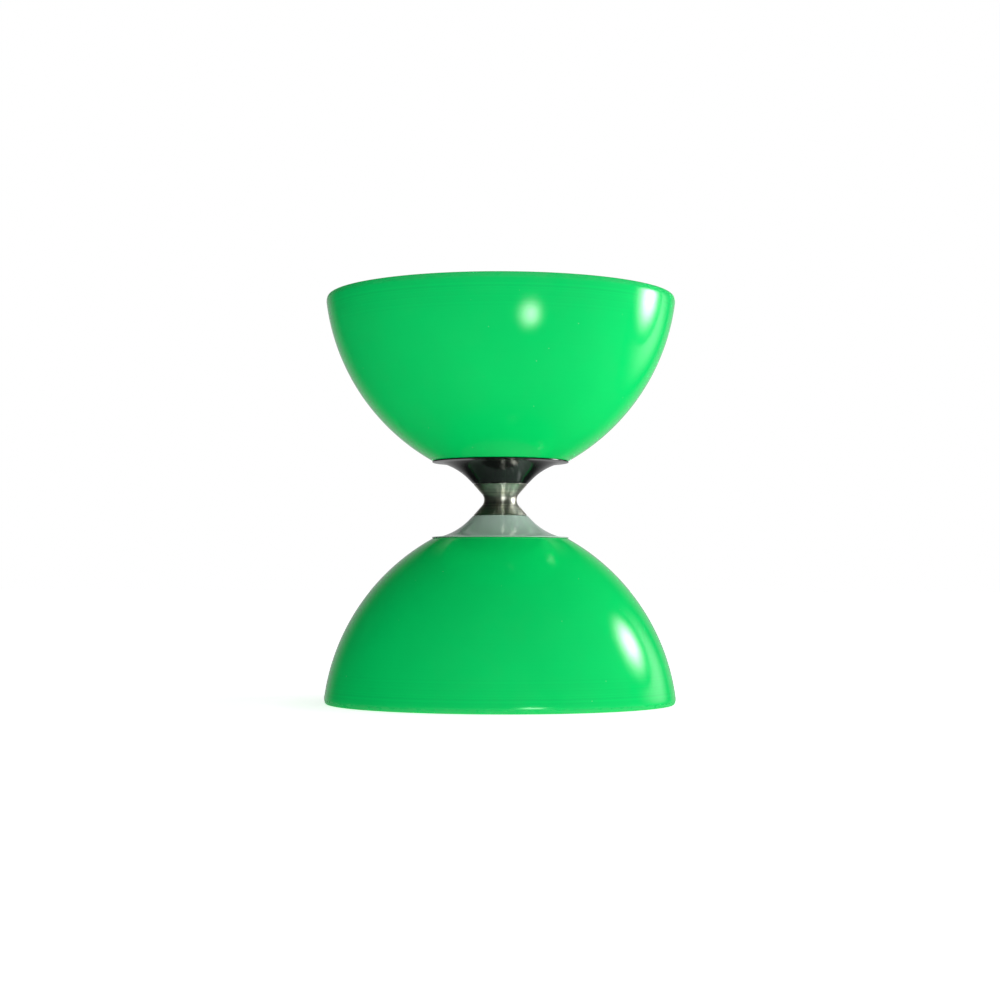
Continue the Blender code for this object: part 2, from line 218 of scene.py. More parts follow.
@dataclass(frozen=True)
class Role:
    """What a piece stands for: its node, with that node's slot and body, and its height above the waist."""

    name: str
    node: str
    slot: str
    body: str = TURNED_BODY
    side: Side = Side.UPPER
    height: float = 0.0

    def fill(self, shape: bmesh.types.BMesh, material: Material) -> None:
        """Makes the piece: placed, shaded, dressed and fastened to the frame. Side LOWER turns it over.

        Args:
            shape: Its geometry about its own middle, which is used up.
            material: Its finish.
        """
        place = Matrix.Translation((0, 0, WAIST + self.height))
        if self.side is Side.LOWER:
            place = place @ Matrix.Rotation(math.pi, 4, "X")
        bmesh.ops.transform(shape, matrix=place, verts=shape.verts)
        mesh = finished(shape, self.name, material)
        mesh.shade_smooth()
        mesh.set_sharp_from_angle(angle=CREASE)
        piece = in_scene(self.name, mesh)
        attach(piece, self.body)
        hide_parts(self.node)
        log.info("%s: %d faces, for %s", self.name, len(mesh.polygons), self.node)


# ---- finishes ----


class Graph:
    """A node tree as it is put together."""

    def __init__(self, tree: bpy.types.NodeTree) -> None:
        """Takes the tree that nodes are added to."""
        self.tree = tree

    def feed(self, socket: Socket, value: object) -> None:
        """Sets a socket, or links it if the value is another node's output."""
        if isinstance(value, Socket):
            self.tree.links.new(value, socket)
        else:
            socket.default_value = value

    def node(self, kind: str, inputs: dict | None = None, **settings: object) -> bpy.types.Node:
        """Adds a node.

        Args:
            kind: Its type.
            inputs: What its inputs are fed, by name or number.
            settings: Its own settings.

        Returns:
            The node.
        """
        made = self.tree.nodes.new(kind)
        for name, value in settings.items():
            setattr(made, name, value)
        for key, value in (inputs or {}).items():
            self.feed(made.inputs[key], value)
        return made

    def math(self, operation: str, *values: object, clamp: bool = False) -> Socket:
        """The result of a Math node."""
        inputs = dict(enumerate(values))
        return self.node("ShaderNodeMath", inputs, operation=operation, use_clamp=clamp).outputs[0]

    def total(self, first: object, *others: object, clamp: bool = False) -> Socket:
        """The sum of its values, held between 0 and 1 if it is clamped."""
        for count, value in enumerate(others, 1):
            first = self.math("ADD", first, value, clamp=clamp and count == len(others))
        return first

    def product(self, first: object, second: object) -> Socket:
        """The product of two values."""
        return self.math("MULTIPLY", first, second)

    def ramp(self, value: object, low: float, high: float, to: Point = (0.0, 1.0)) -> Socket:
        """A value taken from the range low to high into another range, and held at its ends."""
        inputs = {"Value": value, "From Min": low, "From Max": high, "To Min": to[0], "To Max": to[1]}
        return self.node("ShaderNodeMapRange", inputs, interpolation_type="SMOOTHSTEP").outputs["Result"]

    def choose(self, ray: str, no: object, yes: object) -> Socket:
        """One value for a kind of ray, such as Is Camera Ray, and another for the rest."""
        is_ray = self.node("ShaderNodeLightPath").outputs[ray]
        return self.node("ShaderNodeMix", {0: is_ray, 2: no, 3: yes}).outputs[0]


class Recipe(Graph):
    """A material as it is put together: a Principled shader and the nodes that feed it."""

    def __init__(self, name: str) -> None:
        """Starts a material of that name."""
        self.material = bpy.data.materials.new(name)
        self.material.use_nodes = True
        super().__init__(self.material.node_tree)
        self.shader = self.tree.nodes["Principled BSDF"]
        self.place = self.node("ShaderNodeTexCoord").outputs["Object"]
        self.bump: Socket | None = None

    def set(self, **values: object) -> None:
        """Feeds the shader's sockets, named with _ for each space."""
        for name, value in values.items():
            self.feed(self.shader.inputs[name.replace("_", " ")], value)

    def height(self) -> Socket:
        """Distance from the waist along the axle."""
        parts = self.node("ShaderNodeSeparateXYZ", {0: self.place})
        return self.math("ABSOLUTE", self.math("SUBTRACT", parts.outputs["Z"], WAIST))

    def radius(self) -> Socket:
        """Distance from the axle."""
        flat = self.node("ShaderNodeVectorMath", {0: self.place, 1: (1, 1, 0)}, operation="MULTIPLY")
        return self.length(flat.outputs["Vector"])

    def length(self, vector: Socket) -> Socket:
        """A vector's length."""
        return self.node("ShaderNodeVectorMath", {0: vector}, operation="LENGTH").outputs["Value"]

    def noise(
        self, size: float, detail: float = 2.0, stretch: Place = (1, 1, 1), distortion: float = 0.0
    ) -> Socket:
        """Cloudy noise from 0 to 1.

        Args:
            size: Length of its features.
            detail: Octaves of finer noise in it.
            stretch: Factor on the coordinates along each axis; below 1 draws the features out.
            distortion: How far the features are bent.

        Returns:
            The noise's value.
        """
        turned = self.node("ShaderNodeMapping", {"Vector": self.place, "Scale": stretch}).outputs["Vector"]
        inputs = {"Vector": turned, "Scale": 1 / size, "Detail": detail, "Distortion": distortion}
        return self.node("ShaderNodeTexNoise", inputs).outputs["Fac"]

    def lines(self, along: Socket, size: float, detail: float = 3.0) -> Socket:
        """Uneven parallel lines from 0 to 1, such as a lathe leaves, across a coordinate."""
        inputs = {"W": along, "Scale": 1 / size, "Detail": detail}
        return self.node("ShaderNodeTexNoise", inputs, noise_dimensions="1D").outputs["Fac"]

    def specks(self, spacing: float, share: float) -> Socket:
        """A few round specks, 1 inside them, with a radius that is a share of their spacing."""
        cells = self.node("ShaderNodeTexVoronoi", {"Vector": self.place, "Scale": 1 / spacing})
        return self.ramp(cells.outputs["Distance"], share, share * 0.6)

    def mix(self, share: object, first: object, second: object) -> Socket:
        """The mix of two colours."""
        return self.node("ShaderNodeMix", {0: share, 6: first, 7: second}, data_type="RGBA").outputs[2]

    def raise_by(self, height: Socket, distance: float, strength: float = 1.0) -> None:
        """Adds a layer of bump.

        Args:
            height: What the surface rises by, as a share of distance.
            distance: The full rise.
            strength: Share of the bump that is kept.
        """
        inputs = {"Strength": strength, "Distance": distance, "Height": height}
        if self.bump is not None:
            inputs["Normal"] = self.bump
        self.bump = self.node("ShaderNodeBump", inputs).outputs["Normal"]
        self.set(Normal=self.bump)


def opaque(colour: Colour, factor: float = 1.0) -> tuple[float, float, float, float]:
    """A colour with each channel scaled and held at 1, with alpha 1."""
    r, g, b = (min(1.0, c * factor) for c in colour)
    return (r, g, b, 1.0)


@dataclass(frozen=True)
class GlossyMoulding:
    """Smooth injection-moulded plastic with the polish of its mould, and wear where it is handled."""

    name: str
    colour: Colour
    gloss: float
    specular: float
    rim_wear: bool = False
    unevenness: float = 0.06
    ripple: float = 0.004 * MM
    cloud_size: float = 26 * MM
    haze_size: float = 9 * MM
    wave_size: float = 7 * MM
    grain_size: float = 1.1 * MM
    scratch_width: float = 0.35 * MM
    patch_size: float = 14 * MM
    dust_spacing: float = 5.5 * MM
    dust_colour: Colour = (0.75, 0.75, 0.72)
    rub_size: float = 3.5 * MM
    rub_band: Point = (2.6 * MM, 0.4 * MM)
    ring_size: float = 0.7 * MM
    ring_depth: float = 0.020 * MM
    ring_band: Point = (16 * MM, 3 * MM)

    def material(self) -> Material:
        """The finish as a material."""
        recipe = Recipe(self.name)
        clouds = recipe.noise(self.cloud_size, detail=3)
        darker, lighter = (opaque(self.colour, 1 + sign * self.unevenness) for sign in (-1, 1))
        shade = recipe.mix(clouds, darker, lighter)
        cloudy = recipe.noise(self.haze_size, detail=4, distortion=0.6)
        haze = recipe.ramp(cloudy, 0.35, 0.75, (0.0, 0.05))
        drawn_out = recipe.noise(self.scratch_width, detail=1, stretch=(1, 1, 0.04), distortion=0.4)
        patches = recipe.ramp(recipe.noise(self.patch_size, detail=2), 0.52, 0.66)
        scratches = recipe.product(recipe.ramp(drawn_out, 0.70, 0.78), patches)
        roughness = recipe.total(haze, self.gloss, recipe.product(scratches, 0.10))
        if self.rim_wear:
            shade, roughness = self.worn(recipe, shade, roughness)
        dust = recipe.product(recipe.specks(self.dust_spacing, 0.035), 0.3)
        shade = recipe.mix(dust, shade, opaque(self.dust_colour))
        recipe.raise_by(recipe.noise(self.wave_size, detail=1), self.ripple * 4)
        recipe.raise_by(recipe.noise(self.grain_size, detail=3), self.ripple, 0.6)
        recipe.set(
            Base_Color=shade,
            Roughness=recipe.total(roughness, 0.0, clamp=True),
            Specular_IOR_Level=self.specular,
        )
        return recipe.material

    def worn(self, recipe: Recipe, shade: Socket, roughness: Socket) -> tuple[Socket, Socket]:
        """Adds a pale scuff over the rim and faint turned rings beside it.

        Args:
            recipe: The material that it goes into.
            shade: The colour so far.
            roughness: The roughness so far.

        Returns:
            The new colour and roughness.
        """
        height = recipe.height()
        edge = recipe.ramp(height, *(RIM_HEIGHT - depth for depth in self.rub_band))
        uneven = recipe.noise(self.rub_size, detail=6, stretch=(1, 1, 3))
        rubbed = recipe.product(edge, recipe.ramp(uneven, 0.30, 0.70, (0.35, 1.0)))
        pale = opaque(tuple(0.80 * c + 0.06 for c in self.colour))
        shade = recipe.mix(recipe.product(rubbed, 0.5), shade, pale)
        roughness = recipe.total(roughness, recipe.product(rubbed, 0.34))
        band = recipe.ramp(height, *(RIM_HEIGHT - depth for depth in self.ring_band), (0.12, 1.0))
        rings = recipe.lines(height, self.ring_size)
        recipe.raise_by(recipe.product(band, rings), self.ring_depth, 0.8)
        drawn = recipe.product(band, recipe.ramp(rings, 0.35, 0.65, (0.0, 0.16)))
        return recipe.mix(drawn, shade, opaque(self.colour, 0.6)), roughness


class Lay(Enum):
    """Which way the fine lines of a machined or ground surface run round the axle."""

    ALONG_AXLE = "height"
    ACROSS_FACE = "radius"


@dataclass(frozen=True)
class MachinedMetal:
    """Metal with the fine rings that turning or grinding leaves, and a few handling marks."""

    name: str
    colour: Colour
    roughness: float
    lays: tuple[Lay, ...] = (Lay.ALONG_AXLE,)
    line_size: float = 0.12 * MM
    line_depth: float = 0.0015 * MM
    contrast: float = 0.10
    anisotropy: float = 0.0
    stain: Colour | None = None

    def material(self) -> Material:
        """The finish as a material."""
        recipe = Recipe(self.name)
        lines = None
        for lay in self.lays:
            along = recipe.height() if lay is Lay.ALONG_AXLE else recipe.radius()
            ring = recipe.lines(along, self.line_size)
            lines = ring if lines is None else recipe.product(recipe.total(lines, ring), 0.5)
        clouds = recipe.noise(4 * MM, detail=4, distortion=0.5)
        bright = recipe.ramp(lines, 0.3, 0.7)
        dark, light = opaque(self.colour, 1 - self.contrast), opaque(self.colour, 1 + self.contrast / 2)
        shade = recipe.mix(bright, dark, light)
        if self.stain is not None:
            share = recipe.ramp(clouds, 0.45, 0.75, (0.0, 0.45))
            shade = recipe.mix(share, shade, opaque(self.stain))
        smears = recipe.ramp(clouds, 0.3, 0.8, (-0.03, 0.07))
        grooves = recipe.ramp(lines, 0.3, 0.7, (-0.03, 0.05))
        roughness = recipe.total(smears, grooves, self.roughness, clamp=True)
        nicks = recipe.ramp(recipe.noise(0.5 * MM, detail=1, stretch=(1, 1, 0.15)), 0.68, 0.76)
        roughness = recipe.total(roughness, recipe.product(nicks, 0.12))
        recipe.raise_by(lines, self.line_depth)
        recipe.set(Base_Color=shade, Roughness=roughness, Metallic=1.0)
        if self.anisotropy:
            around = recipe.node("ShaderNodeTangent", direction_type="RADIAL", axis="Z")
            recipe.set(Anisotropic=self.anisotropy, Anisotropic_Rotation=0.25)
            recipe.set(Tangent=around.outputs["Tangent"])
        return recipe.material


@dataclass(frozen=True)
class PlatedSteel:
    """Bright zinc plate: a pale metal with a blue and straw tint, fine pits and light scratches."""

    name: str
    colour: Colour
    roughness: float

    def material(self) -> Material:
        """The finish as a material."""
        recipe = Recipe(self.name)
        tint = recipe.noise(3.2 * MM, detail=3, distortion=1.2)
        blue, straw = (c * 0.96 for c in self.colour[:2]), (0.97, 0.93, 0.80)
        cool = (*blue, min(1.0, self.colour[2] * 1.06))
        warm = tuple(a * b for a, b in zip(self.colour, straw))
        shade = recipe.mix(recipe.ramp(tint, 0.35, 0.7), opaque(cool), opaque(warm))
        pits = recipe.ramp(recipe.noise(0.22 * MM, detail=2), 0.55, 0.75)
        scratches = recipe.ramp(recipe.noise(0.3 * MM, detail=1, stretch=(1, 0.05, 0.2)), 0.66, 0.74)
        uneven = recipe.ramp(tint, 0.3, 0.8, (-0.05, 0.08))
        roughness = recipe.total(uneven, recipe.product(scratches, 0.10), self.roughness, clamp=True)
        recipe.raise_by(pits, -0.004 * MM, 0.6)
        recipe.raise_by(recipe.noise(1.5 * MM, detail=2), 0.006 * MM, 0.4)
        recipe.set(Base_Color=shade, Roughness=roughness, Metallic=1.0)
        return recipe.material


@dataclass(frozen=True)
class MatteNylon:
    """Moulded nylon: satin, with a fine grain and a slightly mottled colour."""

    name: str
    colour: Colour
    roughness: float = 0.45

    def material(self) -> Material:
        """The finish as a material."""
        recipe = Recipe(self.name)
        mottle = recipe.noise(1.4 * MM, detail=3)
        grain = recipe.noise(0.12 * MM, detail=2)
        shade = recipe.mix(mottle, opaque(self.colour, 0.88), opaque(self.colour, 1.08))
        uneven = recipe.ramp(grain, 0.3, 0.7, (-0.06, 0.08))
        recipe.raise_by(grain, 0.006 * MM, 0.5)
        recipe.set(
            Base_Color=shade,
            Roughness=recipe.total(uneven, self.roughness, clamp=True),
            Specular_IOR_Level=0.4,
        )
        return recipe.material


# ---- sizes that the frame gives ----


@dataclass(frozen=True)
class Span:
    """The room that a turned node takes: its radius and its nearest and furthest height from the waist."""

    radius: float
    near: float
    far: float

    @classmethod
    def of(cls, node: str) -> "Span":
        """The span of a node, which is the same whichever side of the waist it is on."""
        low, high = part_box(node)
        heights = sorted((abs(low[2] - WAIST), abs(high[2] - WAIST)))
        crosses = low[2] < WAIST < high[2]
        return cls(high[0], -heights[0] if crosses else heights[0], heights[1])

    def ring(self, bore: float, edges: Sequence[float]) -> list[Corner]:
        """A plain ring's corners, from the near bore outwards and back, each with its own rounding."""
        radii, heights = (bore, self.radius, self.radius, bore), (self.near, self.near, self.far, self.far)
        return list(zip(radii, heights, edges))


WAIST = (cad_box[0][2] + cad_box[1][2]) / 2
RIM_HEIGHT = cad_box[1][2] - WAIST


# ---- sub-assemblies ----


@dataclass(frozen=True)
class EndPiece:
    """A piece that both ends of the axle have: which end it is on, its finish and its slot."""

    side: Side
    material: Material
    slot: str
    part: ClassVar[str]

    @property
    def node(self) -> str:
        """Name of the node that it stands for."""
        return f"{self.side.value}_{self.part}"

    @property
    def span(self) -> Span:
        """The room that its node takes."""
        return Span.of(self.node)

    def role(self, ending: str, body: str = TURNED_BODY) -> Role:
        """What it stands for, with the last word of its object's name."""
        return Role(f"{self.node}_{ending}", self.node, self.slot, body, self.side)


@dataclass(frozen=True)
class Cup(EndPiece):
    """A bowl whose wall is one arc, with a flat base and a rounded rim. Both ends have the same moulding."""

    part: ClassVar[str] = "cup"
    wall: float = 3.0 * MM
    base_radius: float = 24.6 * MM
    curve: float = 77.15 * MM
    lip_height: float = 2.2 * MM
    lip_width: float = 0.84 * MM
    lip_land: float = 1.3 * MM
    inner_lip: float = 0.8 * MM
    spigot_hole: float = 8.05 * MM
    floor_fillet: float = 3.0 * MM
    sides: int = 288

    def centre(self) -> Point:
        """Centre of the wall's arc, from the base's corner, the rim and the arc's radius."""
        rise = self.span.far - self.lip_height - self.span.near
        spread = self.span.radius - self.base_radius
        chord = math.hypot(spread, rise)
        depth = math.sqrt(self.curve**2 - (chord / 2) ** 2)
        across = self.base_radius + spread / 2 - depth * rise / chord
        up = self.span.near + rise / 2 + depth * spread / chord
        return across, up

    def wall_points(self, radius: float, first: float, last: float, steps: int) -> list[Point]:
        """Points along the wall at a radius from its centre, between two heights."""
        centre = self.centre()
        start, end = (math.degrees(math.asin((h - centre[1]) / radius)) for h in (first, last))
        return arc(centre, radius, start, end, steps)

    def lip_points(self) -> list[Point]:
        """The rounded outer edge of the rim, from its land outwards and down."""
        steps = 10
        inner = self.span.radius - self.lip_width
        start = self.span.far - self.lip_height
        angles = [math.pi / 2 * (1 - i / steps) for i in range(steps)]
        return [(inner + self.lip_width * math.cos(a), start + self.lip_height * math.sin(a)) for a in angles]

    def outline(self) -> list[Point]:
        """The bowl's section, down its outer side and up its inner side."""
        span = self.span
        floor = span.near + self.wall
        fillet_end = floor + 0.8 * self.floor_fillet
        inner_radius = self.curve - self.wall
        outer = self.wall_points(self.curve, span.far - self.lip_height, span.near, 64)
        inner = self.wall_points(inner_radius, fillet_end, span.far - self.inner_lip, 56)
        corner = self.wall_points(inner_radius, floor, fillet_end, 1)[0]
        base_edge = [(*outer[-3], 0), (*outer[-1], 0.12 * MM), (self.spigot_hole, span.near, 0)]
        floor_edge = [(self.spigot_hole, floor, 0), (*corner, self.floor_fillet), (*inner[0], 0)]
        lip = self.lip_points()
        land = span.radius - self.lip_width - self.lip_land
        lip_edge = [(*inner[-1], 0), (land, span.far, 0.5 * MM), (lip[0][0], span.far, 0)]
        base, bottom, top = (rounded(edge) for edge in (base_edge, floor_edge, lip_edge))
        return [*lip, *outer[:-3], *base, *bottom, *inner[1:-1], *top[:-1]]

    def build(self) -> None:
        """Makes the cup."""
        self.role("moulding").fill(turned(self.outline(), self.sides), self.material)


@dataclass(frozen=True)
class Hub(EndPiece):
    """The plastic trumpet between the roller and a cup, with its thin flange and its spigot."""

    part: ClassVar[str] = "hub"
    tip_radius: float = 9.95 * MM
    cone: float = 44.5
    cone_end: float = 7.5 * MM
    curve: float = 22.5 * MM
    curve_end: float = 74.0
    flange_thickness: float = 0.4 * MM
    flange_gap: float = 0.1 * MM
    flange_edge: float = 0.1 * MM
    spigot_radius: float = 7.95 * MM
    bore: float = 5.1 * MM
    bush_seat: float = 12.1 * MM
    stub_bore: float = 3.95 * MM
    sides: int = 224

    def outline(self) -> list[Point]:
        """The hub's section: spigot, flange, trumpet and tip, then up the stepped bore."""
        span = self.span
        slope = math.radians(self.cone)
        cone_radius = self.tip_radius + (self.cone_end - span.near) * math.tan(slope)
        centre = (cone_radius + self.curve * math.cos(slope), self.cone_end - self.curve * math.sin(slope))
        trumpet = arc(centre, self.curve, 180 - self.curve_end, 180 - self.cone, 36)
        top = Span.of(f"{self.side.value}_cup").near - self.flange_gap
        under = top - self.flange_thickness
        flange = [
            (self.spigot_radius, span.far, 0), (self.spigot_radius, top, 0.3 * MM),
            (span.radius, top, self.flange_edge), (span.radius, under, self.flange_edge), (*trumpet[0], 0),
        ]
        tip = [
            (*trumpet[-1], 0), (self.tip_radius, span.near, 0.3 * MM), (self.bore, span.near, 0.2 * MM),
            (self.bore, self.bush_seat, 0), (self.stub_bore, self.bush_seat, 0),
            (self.stub_bore, span.far, 0), (self.spigot_radius, span.far, 0),
        ]
        return [*rounded(flange)[:-1], *trumpet, *rounded(tip)[1:-1]]

    def build(self) -> None:
        """Makes the hub."""
        self.role("moulding").fill(turned(self.outline(), self.sides), self.material)


@dataclass(frozen=True)
class Roller:
    """The steel roller: a round-bottomed groove between two cones, bored for the bearings."""

    material: Material
    waist_radius: float = 5.93 * MM
    groove_curve: float = 3.26 * MM
    flare: float = 41.3
    bore: float = 5.1 * MM
    ring_groove: float = 5.5 * MM
    ring_near: float = 4.65 * MM
    ring_far: float = 5.25 * MM
    bore_edge: float = 0.2 * MM
    outer_edge: float = 0.08 * MM
    sides: int = 224

    def outline(self) -> list[Point]:
        """The roller's section: down the string's groove, and up the bore with its two ring grooves."""
        span = Span.of("roller")
        end, edge, rim = span.far, self.bore_edge, self.outer_edge
        centre = (self.waist_radius + self.groove_curve, 0)
        groove = arc(centre, self.groove_curve, 180 - self.flare, 180 + self.flare, 32)
        half = [
            (self.bore, end, edge), (self.bore, self.ring_far, 0), (self.ring_groove, self.ring_far, 0),
            (self.ring_groove, self.ring_near, 0), (self.bore, self.ring_near, 0),
        ]
        up = [(r, -h, edge) for r, h, edge in half] + list(reversed(half))
        top = rounded([(self.bore, end, 0), (span.radius, end, rim), (*groove[0], 0)])
        bottom = rounded([(*groove[-1], 0), (span.radius, -end, rim), (self.bore, -end, 0)])
        inside = rounded([(span.radius, -end, 0), *up, (span.radius, end, 0)])
        return [*top[1:-1], *groove, *bottom[1:-1], *inside[1:-1]]

    def build(self) -> None:
        """Makes the roller."""
        role = Role("string_roller", "roller", "polished_steel", ROLLER_BODY)
        role.fill(turned(self.outline(), self.sides), self.material)


@dataclass(frozen=True)
class SnapRing(EndPiece):
    """The open spring ring that keeps the bearings in the roller."""

    part: ClassVar[str] = "snap_ring"
    opening: float = 1.8 * MM
    wall: float = 0.9 * MM
    edge: float = 0.07 * MM
    steps: int = 96

    def build(self) -> None:
        """Makes the ring."""
        span = self.span
        inner = span.radius - self.wall
        half = math.asin(self.opening / 2 / inner)
        corners = rounded(span.ring(inner, [self.edge] * 4), closed=True, steps=3)
        shape = bmesh.new()
        sections = []
        for i in range(self.steps + 1):
            turn = half + (FULL_TURN - 2 * half) * i / self.steps
            across = Vector((math.cos(turn), math.sin(turn), 0))
            sections.append([shape.verts.new(across * r + Vector((0, 0, h))) for r, h in corners])
        for first, second in zip(sections, sections[1:]):
            join_loops(shape, first, second)
        shape.faces.new(sections[0][::-1])
        shape.faces.new(sections[-1])
        bmesh.ops.recalc_face_normals(shape, faces=shape.faces)
        self.role("wire", ROLLER_BODY).fill(shape, self.material)


@dataclass(frozen=True)
class AxleRod:
    """The steel rod: plain in the middle and threaded M6 at both ends."""

    material: Material
    radius: float = 2.9 * MM
    half: float = 29.0 * MM
    thread_start: float = 16.5 * MM
    pitch: float = 1.0 * MM
    depth: float = 0.5 * MM
    runout: float = 1.0 * MM
    chamfer: float = 0.5 * MM
    sides: int = 64
    rows_per_pitch: int = 12
    crest: float = 0.12  # shares of half a pitch
    slope: float = 0.66

    def depth_at(self, height: float, turn: float) -> float:
        """Depth of the thread below the crest.

        Args:
            height: Height above the waist.
            turn: Angle round the axle, in radians.

        Returns:
            The depth in metres.
        """
        phase = (height / self.pitch - turn / FULL_TURN) % 1.0
        flank = abs(2 * phase - 1)
        cut = min(1.0, max(0.0, (flank - self.crest) / self.slope))
        fade = min(1.0, max(0.0, (abs(height) - self.thread_start) / self.runout))
        return self.depth * cut * fade

    def build(self) -> None:
        """Makes the rod with its helical threads."""
        step = self.pitch / self.rows_per_pitch
        rows = round((self.half - self.thread_start) / step)
        upper = [self.thread_start + step * i for i in range(rows + 1)]
        heights = [*(-h for h in reversed(upper)), 0.0, *upper]
        shape = bmesh.new()
        rings = []
        for height in heights:
            cap = self.radius - max(0.0, self.chamfer - (self.half - abs(height)))
            ring = []
            for side in range(self.sides):
                turn = FULL_TURN * side / self.sides
                radius = min(cap, self.radius - self.depth_at(height, turn))
                ring.append(shape.verts.new((radius * math.cos(turn), radius * math.sin(turn), height)))
            rings.append(ring)
        for low, high in zip(rings, rings[1:]):
            join_loops(shape, low, high)
        for ring, height in ((rings[0], heights[0]), (rings[-1], heights[-1])):
            tip = shape.verts.new((0, 0, height))
            for i in range(self.sides):
                shape.faces.new((ring[i], ring[(i + 1) % self.sides], tip))
        bmesh.ops.recalc_face_normals(shape, faces=shape.faces)
        Role("axle_rod_threaded", "axle_rod", "zinc_plate").fill(shape, self.material)


@dataclass(frozen=True)
class ClampStack:
    """What clamps one cup to its hub: the bush, the clamp disc, the washer and the lock nut."""

    side: Side
    ground: Material
    faced: Material
    plated: Material
    nylon: Material
    bore: float = 3.0 * MM
    sharp: float = 0.05 * MM
    bush_nose: Point = (3.6 * MM, 5.95 * MM)
    bush_stub: Point = (3.85 * MM, 12.0 * MM)
    disc_chamfer: float = 0.6 * MM
    disc_hollow: Point = (17.0 * MM, 10.2 * MM)
    disc_hollow_depth: float = 0.12 * MM
    washer_bore: float = 3.2 * MM
    washer_edges: tuple[float, ...] = (0.1 * MM, 0.15 * MM, 0.45 * MM, 0.3 * MM)
    insert_edges: tuple[float, ...] = (0.2 * MM, 0.1 * MM, 0.1 * MM, 0.3 * MM)
    across_flats: float = 10.0 * MM
    hexagon_height: float = 4.0 * MM
    nut_chamfer: float = 30.0
    collar_radius: float = 4.7 * MM
    collar_mouth: float = 3.4 * MM
    collar_lip: float = 0.4 * MM
    insert_seat: Point = (3.9 * MM, 4.2 * MM)
    nut_sides: int = 192

    def span(self, part: str) -> Span:
        """The room that one of its nodes takes."""
        return Span.of(f"{self.side.value}_{part}")

    def ring(
        self, part: str, corners: Sequence[Corner], material: Material, slot: str, sides: int = 128
    ) -> None:
        """Makes one ring-shaped piece from its section's corners.

        Args:
            part: The node's name after the side.
            corners: Radius, height and rounding of each corner, in order.
            material: Its finish.
            slot: The record's slot for its colour.
            sides: Facets round the axle.
        """
        node = f"{self.side.value}_{part}"
        role = Role(f"{node}_turned", node, slot, side=self.side)
        role.fill(turned(rounded(corners, closed=True), sides), material)

    def bush(self) -> None:
        """The stepped spacer between the bearings and the clamp disc."""
        span = self.span("bush")
        near, far, fine = span.near, span.far, 0.12 * MM
        (nose, nose_end), (stub, shoulder) = self.bush_nose, self.bush_stub
        corners = [
            (self.bore, near, fine), (nose, near, fine), (nose, nose_end, 0),
            (span.radius, nose_end, fine), (span.radius, shoulder, fine), (stub, shoulder, 0),
            (stub, far, fine), (self.bore, far, fine),
        ]
        self.ring("bush", corners, self.ground, "bearing_steel")

    def disc(self) -> None:
        """The wide clamp disc, with a chamfered upper edge and a shallow turned hollow round its middle."""
        span = self.span("clamp_disc")
        chamfer, drop, fine = self.disc_chamfer, self.disc_hollow_depth, 0.15 * MM
        (outer, inner), near, far = self.disc_hollow, span.near, span.far
        corners = [
            (self.bore, near, fine), (span.radius, near, fine),
            (span.radius, far - chamfer, fine), (span.radius - chamfer, far, fine),
            (outer, far, self.sharp), (outer - drop, far - drop, self.sharp),
            (inner, far - drop, self.sharp), (inner - drop, far, self.sharp),
            (self.bore, far, fine),
        ]
        self.ring("clamp_disc", corners, self.faced, "zinc_plate", sides=224)

    def nut(self) -> None:
        """The lock nut: a hexagon with turned chamfers, and a round collar rolled over the nylon ring."""
        node = f"{self.side.value}_lock_nut"
        span = Span.of(node)
        flat = self.across_flats / 2
        corner = flat / math.cos(math.pi / 6)
        edge = flat - 0.1 * MM
        slope = math.tan(math.radians(self.nut_chamfer))
        chamfer, rise = (corner - flat) * slope, (corner - edge) * slope
        top = span.near + self.hexagon_height
        outside = [
            (edge, span.near),
            *points_between((edge, span.near), (corner, span.near + rise), 8),
            *points_between((corner, span.near + chamfer), (corner, top - chamfer), 6),
            *points_between((corner, top - chamfer), (edge, top - chamfer + rise), 8),
        ]
        under_lip = span.far - self.collar_lip
        seat, seat_floor = self.insert_seat[0], span.near + self.insert_seat[1]
        collar = [
            (*outside[-1], 0), (self.collar_radius, top + self.sharp, 0.2 * MM),
            (self.collar_radius, span.far, 0.9 * MM), (self.collar_mouth, span.far, 0.12 * MM),
            (self.collar_mouth, under_lip, self.sharp), (seat, under_lip, 0), (seat, seat_floor, 0),
            (self.bore, seat_floor, 0), (self.bore, span.near, 0.3 * MM), (edge, span.near, 0),
        ]
        shape = turned([*outside, *rounded(collar)[1:-1]], self.nut_sides)
        for vert in shape.verts:
            radius = vert.co.to_2d().length
            turn = math.atan2(vert.co.y, vert.co.x)
            off_flat = (turn + math.pi / 6) % (math.pi / 3) - math.pi / 6
            most = flat / math.cos(off_flat)
            if radius > most:
                vert.co.xy = vert.co.to_2d() * (most / radius)
        Role(f"{node}_cut", node, "zinc_plate", side=self.side).fill(shape, self.plated)

    def build(self) -> None:
        """Makes the stack, from the bearings outwards."""
        self.bush()
        self.disc()
        washer = self.span("washer").ring(self.washer_bore, self.washer_edges)
        self.ring("washer", washer, self.plated, "zinc_plate")
        self.nut()
        insert = self.span("nut_insert").ring(self.bore, self.insert_edges)
        self.ring("nut_insert", insert, self.nylon, "insert_nylon", sides=96)


